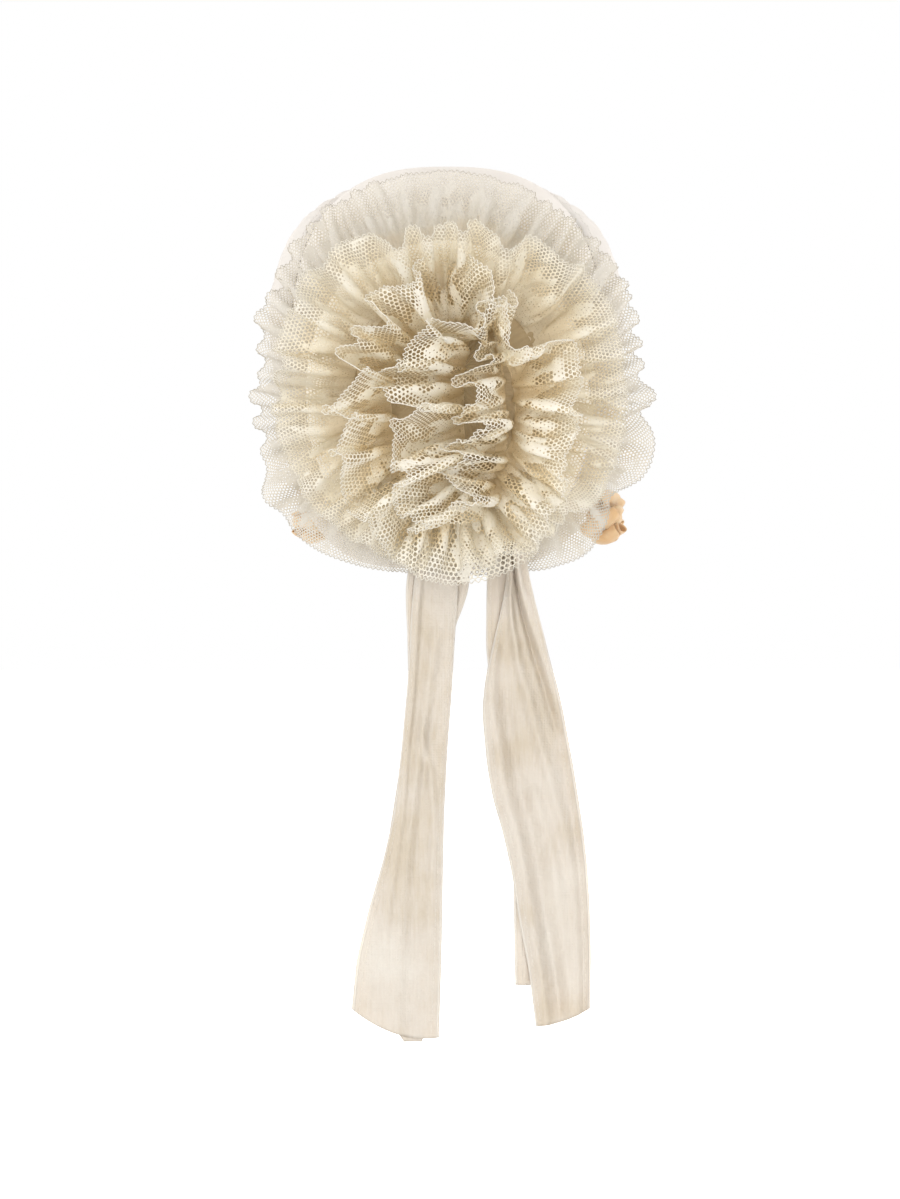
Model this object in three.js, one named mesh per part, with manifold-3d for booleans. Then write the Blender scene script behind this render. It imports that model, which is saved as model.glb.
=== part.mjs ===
// A ruffled lace cap, worn low over the ears, in millimetres with +Z up.
// The wearer looks along +Y, so the tiers of lace on the back of the head face -Y and +X is the wearer's right.
// The origin is where the cap sits: the inside of the crown, on top of the head.
// Every piece of cloth is a closed thin wall round a grid of points, worked out in a frame
// whose origin is the middle of the head.

import * as THREE from "three";
import Module from "manifold-3d";
import { mergeVertices } from "three/addons/utils/BufferGeometryUtils.js";

const wasm = await Module();
wasm.setup();

const { sin, cos, hypot, sign, abs, PI } = Math;
const TURN = 2 * PI;
const degrees = THREE.MathUtils.degToRad;
const mix = THREE.MathUtils.lerp;
const vec = (x, y, z) => new THREE.Vector3(x, y, z);

// The crown: a squarish egg over the top and back of the head, cut off at a tilted rim.
const CROWN = {
  halfWidth: 78,
  halfLength: 96,
  heightAbove: 90,
  depthBelow: 128,
  squareness: 2.6,
  wall: 1.6,
  columns: 36,
  rows: 10,
};
// The rim is measured round a pole that leans towards the back, as an angle away from it.
const LEAN = degrees(45);

// The smooth band round the face and the nape. Its rows are 30 degrees apart, from the forehead
// to the nape: the angle of the rim, how wide the band is there and how far it puffs out.
const BAND = { wall: 1.2, gap: 0.5 };
const BAND_SECTIONS = [
  { rim: 100, width: 42, puff: 5 },
  { rim: 101, width: 54, puff: 9 },
  { rim: 109, width: 66, puff: 12 },
  { rim: 122, width: 56, puff: 9 },
  { rim: 124, width: 36, puff: 5 },
  { rim: 113, width: 20, puff: 2.5 },
  { rim: 106, width: 14, puff: 1.5 },
];
// Across the band: how far from its upper edge to the rim, and how much of the puff is there.
const BAND_PROFILE = [
  { across: 0, puff: 0 },
  { across: 0.22, puff: 0.8 },
  { across: 0.5, puff: 1 },
  { across: 0.8, puff: 0.7 },
  { across: 1, puff: 0 },
];

// The lace is sewn down in rings, one inside another, and stands up along a line in the middle.
// Each row is a place on the sewn line, clockwise from the top: across and up from the middle of
// the head, along the cloth. stand is how steeply the lace leaves the crown there, curl how much
// it bends over, width the lace's own width and wave the height of its gathers.
const LACE = { wall: 1.2, lift: 1.25, steps: 8, rows: 2, radius: 88, lean: 0.32 };
const RUFFLES = [
  {
    name: "ruffle_1",
    waves: 28,
    closed: true,
    rows: [
      { across: 0, up: 56, stand: 3, curl: 26, width: 36, wave: 2.5 },
      { across: 52, up: 33, stand: 4, curl: 24, width: 33, wave: 2.5 },
      { across: 86, up: -20, stand: 26, curl: 22, width: 38, wave: 6 },
      { across: 82, up: -60, stand: 48, curl: 16, width: 38, wave: 6 },
      { across: 40, up: -75, stand: 44, curl: 10, width: 27, wave: 3.5 },
      { across: -34, up: -72, stand: 42, curl: 8, width: 18, wave: 2.5 },
      { across: -78, up: -56, stand: 44, curl: 16, width: 34, wave: 6 },
      { across: -86, up: -18, stand: 28, curl: 22, width: 37, wave: 6 },
      { across: -54, up: 36, stand: 4, curl: 24, width: 34, wave: 2.5 },
    ],
  },
  {
    name: "ruffle_2",
    waves: 22,
    closed: true,
    rows: [
      { across: 2, up: 28, stand: 34, curl: 32, width: 37, wave: 6.5 },
      { across: 36, up: 16, stand: 24, curl: 26, width: 37, wave: 6 },
      { across: 50, up: -18, stand: 19, curl: 22, width: 37, wave: 6 },
      { across: 40, up: -52, stand: 28, curl: 16, width: 38, wave: 5.5 },
      { across: 4, up: -63, stand: 38, curl: 14, width: 36, wave: 5.5 },
      { across: -36, up: -48, stand: 26, curl: 16, width: 36, wave: 5.5 },
      { across: -48, up: -18, stand: 19, curl: 22, width: 37, wave: 6 },
      { across: -33, up: 16, stand: 24, curl: 26, width: 37, wave: 6 },
    ],
  },
  {
    name: "ruffle_3",
    waves: 14,
    closed: true,
    rows: [
      { across: 4, up: 10, stand: 54, curl: 30, width: 38, wave: 6.5 },
      { across: 24, up: -18, stand: 42, curl: 24, width: 38, wave: 6 },
      { across: 4, up: -56, stand: 44, curl: 16, width: 38, wave: 5 },
      { across: -19, up: -18, stand: 44, curl: 24, width: 38, wave: 6 },
    ],
  },
  {
    name: "ruffle_4",
    waves: 10,
    closed: true,
    rows: [
      { across: 3, up: 0, stand: 66, curl: 30, width: 34, wave: 6 },
      { across: 9, up: -20, stand: 78, curl: 20, width: 34, wave: 5 },
      { across: 4, up: -47, stand: 50, curl: 16, width: 38, wave: 4.5 },
      { across: -4, up: -20, stand: 58, curl: 26, width: 36, wave: 6 },
    ],
  },
  {
    name: "ruffle_5",
    waves: 4,
    closed: false,
    rows: [
      { across: 2, up: -6, stand: 94, curl: 20, width: 31, wave: 4.5 },
      { across: 3, up: -38, stand: 88, curl: 20, width: 31, wave: 4 },
    ],
  },
];

// The ties hang from the nape: a doubled ribbon, open at its left edge. Each row is a section.
// down is measured from the middle of the head, out towards the back, left and right are its edges,
// and wrap is how much nearer the head the right edge is than the left one.
const TIE = { wall: 1, plies: 3, across: 4 };
const TIE_LEFT = [
  { down: 107.5, out: 71.8, left: -20, right: 11, wrap: -1, fold: 3 },
  { down: 118, out: 70.5, left: -19.5, right: 11, wrap: 0, fold: 3 },
  { down: 140, out: 69, left: -19, right: 4.5, wrap: 0, fold: 2.5 },
  { down: 172, out: 69.5, left: -22, right: 1.5, wrap: 0, fold: 2 },
  { down: 205, out: 72, left: -25, right: -1, wrap: 0, fold: 1.5 },
  { down: 235, out: 77, left: -28, right: -2, wrap: 0, fold: 1.5 },
  { down: 260, out: 82, left: -34, right: -2.2, wrap: 0, fold: 1.5 },
  { down: 285, out: 87, left: -40, right: -2.8, wrap: 0, fold: 1.2 },
  { down: 310, out: 92, left: -44.5, right: -3.5, wrap: 0, fold: 1 },
  { down: 338, out: 97, left: -46.5, right: -4.5, wrap: 0, fold: 1 },
];
const TIE_RIGHT = [
  { down: 107.8, out: 71.2, left: 20, right: 39, wrap: 8.6, fold: 2 },
  { down: 118, out: 70, left: 19.5, right: 40, wrap: 8, fold: 2.5 },
  { down: 134, out: 69, left: 20, right: 43.5, wrap: 6, fold: 3 },
  { down: 150, out: 68.5, left: 19, right: 50, wrap: 4, fold: 3.5 },
  { down: 182, out: 69.5, left: 17.5, right: 56, wrap: 2, fold: 3 },
  { down: 214, out: 73, left: 19.5, right: 62, wrap: 0, fold: 2.5 },
  { down: 247, out: 79, left: 27.5, right: 67, wrap: 0, fold: 2 },
  { down: 275, out: 85, left: 33, right: 70, wrap: 0, fold: 1.5 },
  { down: 303, out: 90, left: 36.5, right: 70.5, wrap: 0, fold: 1.2 },
  { down: 333, out: 95, left: 41.5, right: 70, wrap: 0, fold: 1 },
];

// Each rosette is a ring of ribbon loops round a knot, flat against the side of the head.
const ROSETTES = [
  { name: "rosette_right", at: [84.2, 3, -85.5], ribbon: 15, loop: 17, knot: 5 },
  { name: "rosette_left", at: [-83.2, 4, -86], ribbon: 13, loop: 16, knot: 4.5 },
];
const LOOP = { count: 5, wall: 1.1, steps: 6, start: 2.5, plump: 0.36 };

const cream = new THREE.MeshStandardMaterial({ color: 0xe9dfc6, roughness: 0.9, metalness: 0 });
const white = new THREE.MeshStandardMaterial({ color: 0xf1eeea, roughness: 0.75, metalness: 0 });
const ivory = new THREE.MeshStandardMaterial({ color: 0xe8dcc4, roughness: 0.5, metalness: 0 });
const peach = new THREE.MeshStandardMaterial({ color: 0xe3bd8c, roughness: 0.4, metalness: 0 });

// A piece of cloth, from its grid of points: grid[i][j] runs along it with i and across it with j.
// loop joins the last line to the first. pole says that every line starts at the same point.
function clothWall(grid, wall, { loop = false, pole = false } = {}) {
  const along = grid.length;
  const across = grid[0].length;
  const line = (i) => (loop ? (i + along) % along : THREE.MathUtils.clamp(i, 0, along - 1));
  const place = (j) => THREE.MathUtils.clamp(j, 0, across - 1);
  const normals = grid.map((row, i) =>
    row.map((_, j) => {
      const side = pole && j === 0 ? 1 : j;
      const forward = grid[line(i + 1)][side].clone().sub(grid[line(i - 1)][side]);
      const outward = grid[i][place(j + 1)].clone().sub(grid[i][place(j - 1)]);
      return forward.cross(outward).normalize();
    }),
  );
  if (pole) {
    const middle = normals.reduce((sum, row) => sum.add(row[0]), vec(0, 0, 0)).normalize();
    normals.forEach((row) => row[0].copy(middle));
  }

  const positions = [];
  for (const face of [wall / 2, -wall / 2])
    for (let i = 0; i < along; i++)
      for (let j = 0; j < across; j++)
        positions.push(...grid[i][j].clone().addScaledVector(normals[i][j], face));
  const front = (i, j) => (pole && j === 0 ? 0 : line(i) * across + j);
  const back = (i, j) => front(i, j) + along * across;

  const index = [];
  const quad = (a, b, c, d) => {
    if (a !== b) index.push(a, b, c);
    if (c !== d) index.push(a, c, d);
  };
  const lines = loop ? along : along - 1;
  for (let i = 0; i < lines; i++) {
    for (let j = 0; j < across - 1; j++) {
      quad(front(i, j), front(i + 1, j), front(i + 1, j + 1), front(i, j + 1));
      if (pole && j === 0) index.push(back(i, 0), back(i, 1), back(i + 1, 1));
      else quad(back(i, j), back(i, j + 1), back(i + 1, j + 1), back(i + 1, j));
    }
    const last = across - 1;
    if (!pole) quad(front(i, 0), back(i, 0), back(i + 1, 0), front(i + 1, 0));
    quad(front(i, last), front(i + 1, last), back(i + 1, last), back(i, last));
  }
  if (!loop)
    for (let j = 0; j < across - 1; j++) {
      const end = along - 1;
      quad(front(0, j), front(0, j + 1), back(0, j + 1), back(0, j));
      quad(front(end, j + 1), front(end, j), back(end, j), back(end, j + 1));
    }

  const geometry = new THREE.BufferGeometry();
  geometry.setAttribute("position", new THREE.Float32BufferAttribute(positions, 3));
  geometry.setIndex(index);
  return geometry;
}

function piece(name, geometry, material) {
  const mesh = new THREE.Mesh(geometry, material);
  mesh.name = name;
  return mesh;
}

// The crown's outside, lift above it, in a direction from the middle of the head.
function onCrown(direction, lift = 0) {
  const { halfWidth, halfLength, heightAbove, depthBelow, squareness: n } = CROWN;
  const reach = [halfWidth, halfLength, direction.z > 0 ? heightAbove : depthBelow];
  const share = direction.toArray().map((d, k) => (abs(d) / reach[k]) ** n);
  const point = direction.clone().multiplyScalar((share[0] + share[1] + share[2]) ** (-1 / n));
  return point.addScaledVector(crownNormal(point), lift);
}

function crownNormal(point) {
  const { halfWidth, halfLength, heightAbove, depthBelow, squareness: n } = CROWN;
  const reach = [halfWidth, halfLength, point.z > 0 ? heightAbove : depthBelow];
  const slope = point.toArray().map((d, k) => (sign(d) * abs(d / reach[k]) ** (n - 1)) / reach[k]);
  return vec(...slope).normalize();
}

// A direction by its angle from the leaning pole and round it, from the forehead to the wearer's right.
function fromPole(away, round) {
  const pole = vec(0, -sin(LEAN), cos(LEAN));
  const front = vec(0, cos(LEAN), sin(LEAN));
  const ring = front.multiplyScalar(cos(round)).add(vec(sin(round), 0, 0));
  return pole.multiplyScalar(cos(away)).add(ring.multiplyScalar(sin(away)));
}

// A table's measures between its rows, at a share of the way along them.
function alongRows({ rows, closed }, columns) {
  const points = rows.map((row) => vec(...columns.map((column) => row[column])));
  return new THREE.CatmullRomCurve3(points, closed, "catmullrom");
}

const otherSide = BAND_SECTIONS.slice(1, -1).reverse();
const bandRows = alongRows({ rows: [...BAND_SECTIONS, ...otherSide], closed: true }, [
  "rim",
  "width",
  "puff",
]);

function bandAt(round) {
  const { x: rim, y: width, z: puff } = bandRows.getPoint(round / TURN);
  return { rim: degrees(rim), width, puff };
}

function crown() {
  const { columns, rows, wall } = CROWN;
  const grid = Array.from({ length: columns }, (_, i) => {
    const round = (TURN * i) / columns;
    const { rim } = bandAt(round);
    return Array.from({ length: rows + 1 }, (_, j) =>
      onCrown(fromPole((rim * j) / rows, round), -wall / 2),
    );
  });
  return piece("crown", clothWall(grid, wall, { loop: true, pole: true }), white);
}

function headBand() {
  const grid = Array.from({ length: CROWN.columns }, (_, i) => {
    const round = (TURN * i) / CROWN.columns;
    const { rim, width, puff } = bandAt(round);
    const start = rim - width / onCrown(fromPole(rim, round)).length();
    return BAND_PROFILE.map((row) =>
      onCrown(
        fromPole(mix(start, rim, row.across), round),
        BAND.gap + BAND.wall / 2 + puff * row.puff,
      ),
    );
  });
  return piece("head_band", clothWall(grid, BAND.wall, { loop: true }), white);
}

// A point on the crown by its distance across and up from the middle of the back, along the cloth.
function onBack(across, up) {
  const angle = hypot(across, up) / LACE.radius;
  const round = Math.atan2(across, up);
  const d = vec(sin(angle) * sin(round), -cos(angle), sin(angle) * cos(round));
  return onCrown(d, LACE.lift);
}

// A line of lace from its sewn edge to its free one. It leaves the crown at its stand, bends over
// by its curl, and its gathers grow from nothing at the seam to their full height at the free edge.
function laceLine(foot, along, { stand, curl, width, wave }, phase) {
  const normal = crownNormal(foot);
  const away = normal.clone().cross(along).normalize();
  const point = foot.clone();
  const line = [];
  for (let j = 0; j <= LACE.rows; j++) {
    const share = j / LACE.rows;
    const tilt = degrees(stand + curl * (0.5 - share));
    const out = away.clone().multiplyScalar(cos(tilt)).addScaledVector(normal, sin(tilt));
    if (j > 0) point.addScaledVector(out, width / LACE.rows);
    const over = normal.clone().multiplyScalar(cos(tilt)).addScaledVector(away, -sin(tilt));
    const height = wave * share;
    line.push(
      point
        .clone()
        .addScaledVector(over, height * sin(phase))
        .addScaledVector(along, height * LACE.lean * sin(2 * phase)),
    );
  }
  return line;
}

// Gathers are never quite even: their phase wanders and their height swells and sinks.
const wander = (turn, seed) => 0.5 * sin(2 * turn + seed) + 0.35 * sin(5 * turn + 2 * seed);
const swell = (turn, seed) => 1 + 0.18 * sin(3 * turn + seed) + 0.12 * sin(7 * turn + 3 * seed);

function ruffle(made, seed) {
  const { name, waves, closed } = made;
  const places = alongRows(made, ["across", "up", "wave"]);
  const shapes = alongRows(made, ["stand", "curl", "width"]);
  const points = Array.from({ length: 180 }, (_, i) => {
    const { x, y } = places.getPoint(i / (closed ? 180 : 179));
    return onBack(x, y);
  });
  const seam = new THREE.CatmullRomCurve3(points, closed);
  seam.arcLengthDivisions = 1000;
  const count = waves * LACE.steps;
  const grid = Array.from({ length: closed ? count : count + 1 }, (_, i) => {
    const share = i / count;
    const turn = TURN * share;
    const t = seam.getUtoTmapping(share);
    const { x: stand, y: curl, z: width } = shapes.getPoint(t);
    const wave = places.getPoint(t).z * swell(turn, seed);
    const phase = waves * turn + wander(turn, seed);
    return laceLine(
      seam.getPointAt(share),
      seam.getTangentAt(share),
      { stand, curl, width, wave },
      phase,
    );
  });
  return piece(name, clothWall(grid, LACE.wall, { loop: closed }), cream);
}

// The back ply runs from the open edge to the fold, and the front ply back again with a soft fold.
function tie(name, sections) {
  const { across, plies, wall } = TIE;
  const grid = sections.map(({ down, out, left, right, wrap, fold }) => {
    const line = [];
    for (let j = 0; j <= across; j++) {
      const share = j / across;
      line.push(vec(mix(left + 1.5, right - 1, share), -out + plies / 2 + wrap * share, -down));
    }
    for (let j = across; j >= 0; j--) {
      const share = j / across;
      const crease = (fold / 3) * sin(PI * share) * cos(TURN * share);
      line.push(vec(mix(left, right, share), -out - plies / 2 + wrap * share + crease, -down));
    }
    return line;
  });
  return piece(name, clothWall(grid, wall), ivory);
}

function solidOf(geometry) {
  const bare = new THREE.BufferGeometry();
  bare.setAttribute("position", geometry.getAttribute("position"));
  bare.setIndex(geometry.index);
  const merged = mergeVertices(bare, 1e-4);
  return new wasm.Manifold(
    new wasm.Mesh({
      numProp: 3,
      vertProperties: merged.attributes.position.array,
      triVerts: new Uint32Array(merged.index.array),
    }),
  );
}

function geometryOf(solid) {
  const { vertProperties, triVerts } = solid.getMesh();
  const geometry = new THREE.BufferGeometry();
  geometry.setAttribute("position", new THREE.BufferAttribute(vertProperties, 3));
  geometry.setIndex(new THREE.BufferAttribute(triVerts, 1));
  return geometry;
}

// One loop of ribbon, up from the knot and back, with the ribbon's width along X.
function ribbonLoop(ribbon, length) {
  const { steps, start, plump, wall } = LOOP;
  const grid = Array.from({ length: steps + 1 }, (_, i) => {
    const round = PI * (i / steps) * 2 - PI;
    const up = start + (length - start) * 0.5 * (1 + cos(round));
    const over = plump * length * sin(round) * (0.45 + 0.55 * ((up - start) / (length - start)));
    return [-ribbon / 2, ribbon / 2].map((across) => vec(across, over, up));
  });
  grid[0].forEach((point) => (point.y -= wall));
  grid[steps].forEach((point) => (point.y += wall));
  return clothWall(grid, wall);
}

function rosette({ name, at, ribbon, loop, knot }) {
  const button = new THREE.SphereGeometry(knot, 10, 6).rotateZ(PI / 2).scale(ribbon / 2 / knot, 1, 1);
  let whole = solidOf(button);
  for (let k = 0; k < LOOP.count; k++) {
    const turned = ribbonLoop(ribbon, loop).rotateX((TURN * (k + 0.5)) / LOOP.count);
    whole = whole.add(solidOf(turned));
  }
  const mesh = piece(name, geometryOf(whole), peach);
  mesh.position.set(...at);
  return mesh;
}

const head = new THREE.Group();
head.position.z = CROWN.wall - CROWN.heightAbove;
head.add(crown(), headBand());
RUFFLES.forEach((made, k) => head.add(ruffle(made, k + 1)));
head.add(tie("tie_left", TIE_LEFT), tie("tie_right", TIE_RIGHT));
ROSETTES.forEach((made) => head.add(rosette(made)));

const cap = new THREE.Group();
cap.add(head);
export default cap;
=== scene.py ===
# %% [markdown]
# # A ruffled lace cap
#
# A soft white cap carries four rings of gathered lace and a fifth short line of it in the middle.
# A puffed band runs round the face, ribbon rosettes sit under the ears and two silk ties hang
# from the nape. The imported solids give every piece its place. This lesson makes the cloth: it
# works in millimetres round the middle of the head, and turns each mesh to metres at the end.

import bmesh
import bpy
import numpy as np
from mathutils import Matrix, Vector


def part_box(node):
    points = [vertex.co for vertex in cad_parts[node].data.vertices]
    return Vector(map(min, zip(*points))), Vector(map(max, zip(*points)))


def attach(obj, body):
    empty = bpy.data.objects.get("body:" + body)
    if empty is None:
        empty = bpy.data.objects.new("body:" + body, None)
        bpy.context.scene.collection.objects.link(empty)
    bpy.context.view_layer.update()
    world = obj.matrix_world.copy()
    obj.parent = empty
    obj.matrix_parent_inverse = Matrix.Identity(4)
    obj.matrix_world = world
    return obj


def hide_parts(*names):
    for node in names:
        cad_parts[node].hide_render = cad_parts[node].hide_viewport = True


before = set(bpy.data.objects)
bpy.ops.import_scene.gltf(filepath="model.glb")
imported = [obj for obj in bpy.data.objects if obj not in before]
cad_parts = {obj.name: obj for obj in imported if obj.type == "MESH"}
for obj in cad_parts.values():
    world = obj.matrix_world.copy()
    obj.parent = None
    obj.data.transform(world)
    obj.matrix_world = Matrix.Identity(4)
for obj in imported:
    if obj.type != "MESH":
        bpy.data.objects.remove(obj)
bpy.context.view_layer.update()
MM = 0.001
TURN = 2 * np.pi
print(f"The packed part has {len(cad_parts)} nodes")

# %% [markdown]
# ## The head under the cap
#
# Everything is sewn to the crown, so its shape comes first. It is a squarish egg, a
# superellipsoid: the sum of each coordinate over its reach, raised to a power, is 1 on its
# surface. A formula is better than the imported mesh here, because the lace needs the exact
# surface and its slope at any point.

# %% The crown's shape
crown_low, crown_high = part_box("crown")
HALF_WIDTH = crown_high.x / MM
HALF_LENGTH = -crown_low.y / MM
HEIGHT_ABOVE = 90.0
DEPTH_BELOW = 128.0
SQUARENESS = 2.6
MUSLIN = 1.6
HEAD = np.array([0.0, 0.0, MUSLIN - HEIGHT_ABOVE])


def reach_of(points):
    """How far the crown reaches along each axis, on the points' own side of the head."""
    up = np.where(points[..., 2] > 0, HEIGHT_ABOVE, DEPTH_BELOW)
    return np.stack([np.full_like(up, HALF_WIDTH), np.full_like(up, HALF_LENGTH), up], -1)


def unit(vectors):
    return vectors / np.maximum(np.linalg.norm(vectors, axis=-1, keepdims=True), 1e-9)


def crown_level(points):
    """1 on the crown, less inside it and more outside."""
    return ((np.abs(points) / reach_of(points)) ** SQUARENESS).sum(-1) ** (1 / SQUARENESS)


def crown_normal(points):
    reach = reach_of(points)
    slope = np.sign(points) * (np.abs(points) / reach) ** (SQUARENESS - 1) / reach
    return unit(slope)


def on_crown(directions, lift=0.0):
    """Points on the crown, lift above it, in directions from the middle of the head."""
    points = directions / crown_level(directions)[..., None]
    return points + crown_normal(points) * np.asarray(lift)[..., None]


print(f"The head is {2 * HALF_WIDTH:.0f} mm wide and {2 * HALF_LENGTH:.0f} mm long inside the cap")

# %% [markdown]
# ## From a grid of points to a piece
#
# Each cloth is a grid of points: i runs along it and j across it. One function turns a grid
# into a mesh at its place in metres, with a UV map called flat that unrolls the cloth, so that
# a weave or a net can follow the threads wherever the cloth folds.


# %% A mesh from a grid
def new_object(name, points, faces, edges=()):
    mesh = bpy.data.meshes.new(name)
    mesh.from_pydata((np.asarray(points).reshape(-1, 3) + HEAD) * MM, edges, faces)
    mesh.polygons.foreach_set("use_smooth", [True] * len(mesh.polygons))
    piece = bpy.data.objects.new(name, mesh)
    bpy.context.scene.collection.objects.link(piece)
    return piece


def grid_object(name, grid, loop=False, pole=False):
    """A piece from grid[i, j]. loop joins the last line to the first, and pole closes j = 0 to a point."""
    along, across = grid.shape[:2]
    lines = along if loop else along - 1
    faces, flat = [], []
    for i in range(lines):
        k = (i + 1) % along
        for j in range(across - 1):
            corners = [(i, j), (k, j), (k, j + 1), (i, j + 1)]
            places = [(i, j), (i + 1, j), (i + 1, j + 1), (i, j + 1)]
            if pole and j == 0:
                corners, places = [(0, 0), *corners[2:]], [places[0], *places[2:]]
            faces.append([0 if pole and b == 0 else a * across + b for a, b in corners])
            flat += [(a / lines, b / (across - 1)) for a, b in places]
    piece = new_object(name, grid, faces)
    piece.data.uv_layers.new(name="flat").data.foreach_set("uv", np.ravel(flat))
    if pole:
        drop_loose(piece)
    return piece


def drop_loose(piece):
    """Removes the points that no face uses, such as a pole's spare copies."""
    mesh = bmesh.new()
    mesh.from_mesh(piece.data)
    bmesh.ops.delete(mesh, geom=[v for v in mesh.verts if not v.link_faces], context="VERTS")
    mesh.to_mesh(piece.data)
    mesh.free()


def freeze(piece):
    """Turns a piece with its modifiers into a plain mesh."""
    made = bpy.data.meshes.new_from_object(piece.evaluated_get(bpy.context.evaluated_depsgraph_get()))
    made.name = piece.name
    piece.modifiers.clear()
    piece.data = made


def cloth_area(piece):
    """The area of an open sheet in square metres, before it gets its thickness."""
    return sum(face.area for face in piece.data.polygons)


def to_cloth(piece, material, wall, offset=-1.0):
    """Gives an open sheet its material and wall, inwards from its outer face, and tells its area."""
    piece.data.materials.append(material)
    area = cloth_area(piece)
    solid = piece.modifiers.new("Wall", "SOLIDIFY")
    solid.thickness = wall * MM
    solid.offset = offset
    freeze(piece)
    return area


def around(count):
    """Even steps of angle all the way round."""
    return TURN * np.arange(count) / count


def put_in_part(piece, node=None):
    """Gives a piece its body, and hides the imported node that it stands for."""
    if node:
        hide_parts(node)
    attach(piece, "root")


# %% [markdown]
# ## Writing shaders as sums
#
# A material is easier to read as arithmetic than as a list of nodes and links. Wire holds one
# output socket, and a sum on it adds a Math node. Tree adds every other kind of node.


# %% Nodes as expressions
class Wire:
    """One output socket of a node tree. Arithmetic on it adds Math nodes."""

    def __init__(self, tree, socket):
        self.tree = tree
        self.socket = socket

    def __add__(self, other):
        return self.tree.maths("ADD", self, other)

    def __sub__(self, other):
        return self.tree.maths("SUBTRACT", self, other)

    def __mul__(self, other):
        return self.tree.maths("MULTIPLY", self, other)

    def __truediv__(self, other):
        return self.tree.maths("DIVIDE", self, other)


class Tree:
    """A material's or a Geometry Nodes tree, with one call to add a node."""

    def __init__(self, tree):
        self.tree = tree

    def fill(self, socket, value):
        if isinstance(value, Wire):
            self.tree.links.new(value.socket, socket)
        else:
            socket.default_value = value

    def add(self, kind, values=None, output=0, **settings):
        """A node of that kind. values are by socket name or number, and the Wire is from output."""
        node = self.tree.nodes.new(kind)
        for name, setting in settings.items():
            setattr(node, name, setting)
        for name, value in (values or {}).items():
            self.fill(node.inputs[name], value)
        return Wire(self, node.outputs[output]) if len(node.outputs) else node

    def maths(self, operation, *values, clamp=False):
        values = dict(enumerate(values))
        return self.add("ShaderNodeMath", values, operation=operation, use_clamp=clamp)

    def waves(self, along, length):
        """Sine waves of that length along a coordinate."""
        return self.maths("SINE", along * (TURN / length))

    def parts(self, vector, axis):
        """One coordinate of a vector."""
        return self.add("ShaderNodeSeparateXYZ", {0: vector}, axis)

    def vector(self, x, y, z):
        return self.add("ShaderNodeCombineXYZ", {0: x, 1: y, 2: z})

    def noise(self, place, scale, detail=2.0):
        return self.add("ShaderNodeTexNoise", {"Vector": place, "Scale": scale, "Detail": detail}, "Fac")

    def on_piece(self):
        """The place on the piece, in metres."""
        return self.add("ShaderNodeTexCoord", output="Object")

    def on_flat(self):
        """The place on the unrolled cloth."""
        return self.add("ShaderNodeUVMap", uv_map="flat")

    def stored(self, name):
        """A number stored on the mesh, for a shader."""
        return self.add("ShaderNodeAttribute", output="Fac", attribute_name=name)

    def bump(self, height, strength, distance):
        values = {"Height": height, "Strength": strength, "Distance": distance}
        return self.add("ShaderNodeBump", values, "Normal")

    def ramp(self, value, *stops):
        """A colour ramp through (place, colour) stops."""
        wire = self.add("ShaderNodeValToRGB", {"Fac": value})
        elements = wire.socket.node.color_ramp.elements
        while len(elements) < len(stops):
            elements.new(1.0)
        for element, (place, colour) in zip(elements, stops):
            element.position = place
            element.color = (*colour, 1.0)
        return wire

    def store(self, geometry, name, kind, domain, value):
        """The geometry with a named attribute added."""
        values = {"Geometry": geometry, "Name": name, "Value": value}
        return self.add("GeometryNodeStoreNamedAttribute", values, data_type=kind, domain=domain)

    def named(self, name, kind):
        """A named attribute, for Geometry Nodes."""
        return self.add("GeometryNodeInputNamedAttribute", {"Name": name}, data_type=kind)

    def on_sheet(self, sheet, flat):
        """The place on the folded sheet of a point of its flat map."""
        here = self.add("GeometryNodeInputPosition")
        unrolled = self.named("flat", "FLOAT_VECTOR")
        values = {"Mesh": sheet, "Value": here, "UV Map": unrolled, "Sample UV": flat}
        return self.add("GeometryNodeSampleUVSurface", values, data_type="FLOAT_VECTOR")

    def moved(self, geometry, place):
        """The geometry with its points at other places."""
        return self.add("GeometryNodeSetPosition", {"Geometry": geometry, "Position": place})

    def give(self, geometry, cloth):
        """Makes the geometry real, in that material, and hands it out of the group."""
        made = self.add("GeometryNodeRealizeInstances", {"Geometry": geometry})
        made = self.add("GeometryNodeSetMaterial", {"Geometry": made, "Material": cloth})
        self.fill(self.tree.nodes.new("NodeGroupOutput").inputs[0], made)


def new_material(name):
    material = bpy.data.materials.new(name)
    material.use_nodes = True
    material.node_tree.nodes.clear()
    return material, Tree(material.node_tree)


def thin_cloth(tree, colour, roughness, bump, through, sheen=0.0, glow=None):
    """The surface of thin cloth: it scatters light back, and lets part of it through."""
    values = {"Base Color": colour, "Roughness": roughness, "Normal": bump}
    values |= {"Sheen Weight": sheen, "Sheen Roughness": 0.4, "Specular IOR Level": 0.25}
    front = tree.add("ShaderNodeBsdfPrincipled", values, "BSDF")
    back = tree.add("ShaderNodeBsdfTranslucent", {"Color": glow or colour, "Normal": bump})
    both = tree.add("ShaderNodeMixShader", {0: through, 1: front, 2: back})
    tree.add("ShaderNodeOutputMaterial", {"Surface": both})


def new_group(name, inputs, output):
    """A Geometry Nodes group, its Tree and a Wire for each input, which are kinds by name."""
    group = bpy.data.node_groups.new(name, "GeometryNodeTree")
    for title, kind in inputs.items():
        group.interface.new_socket(title, in_out="INPUT", socket_type="NodeSocket" + kind)
    group.interface.new_socket(output, in_out="OUTPUT", socket_type="NodeSocketGeometry")
    tree = Tree(group)
    given = group.nodes.new("NodeGroupInput")
    return group, tree, [Wire(tree, given.outputs[title]) for title in inputs]


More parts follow.
